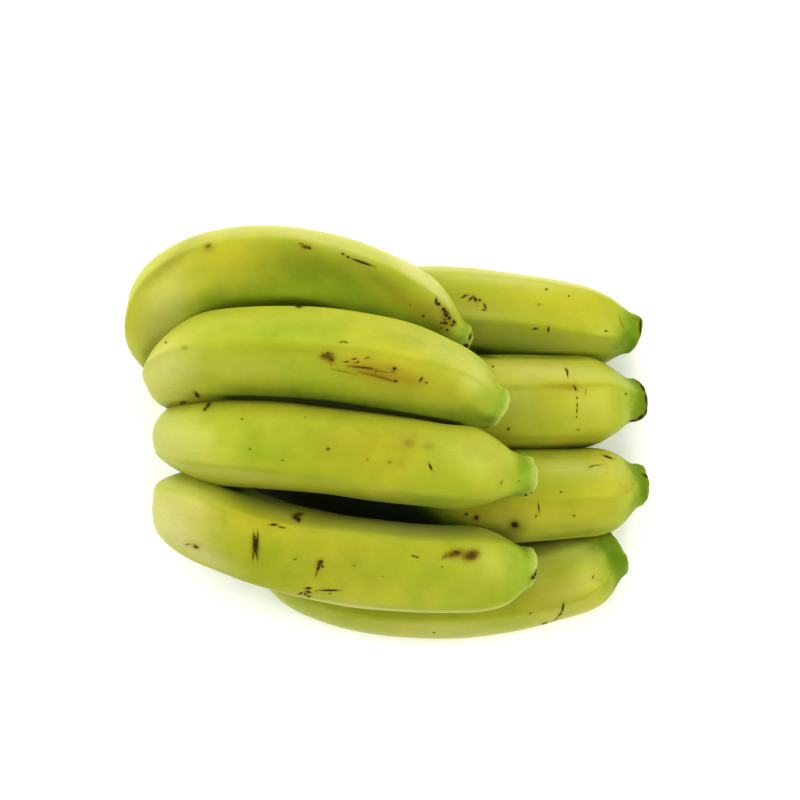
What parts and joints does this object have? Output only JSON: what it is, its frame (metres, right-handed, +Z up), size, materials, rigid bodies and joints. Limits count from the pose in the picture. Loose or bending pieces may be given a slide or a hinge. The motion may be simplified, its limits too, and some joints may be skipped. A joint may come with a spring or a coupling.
{
  "type": "hand of bananas",
  "caption": "Hand of green-yellow bananas in two nested rows, joined at a short cut crown, lying with its hollow side down.",
  "frame": {"origin": "middle of the bounding box, at the level of the surface that the hand lies on", "axes": "+Z up, +X along the fingers from the crown to the tips, +Y across the rows"},
  "size_m": [0.206, 0.163, 0.0863],
  "materials": {
    "banana_skin": "waxy green-yellow peel"
  },
  "bodies": {
    "root": {"banana_hand": "banana_skin"}
  },
  "joints": []
}
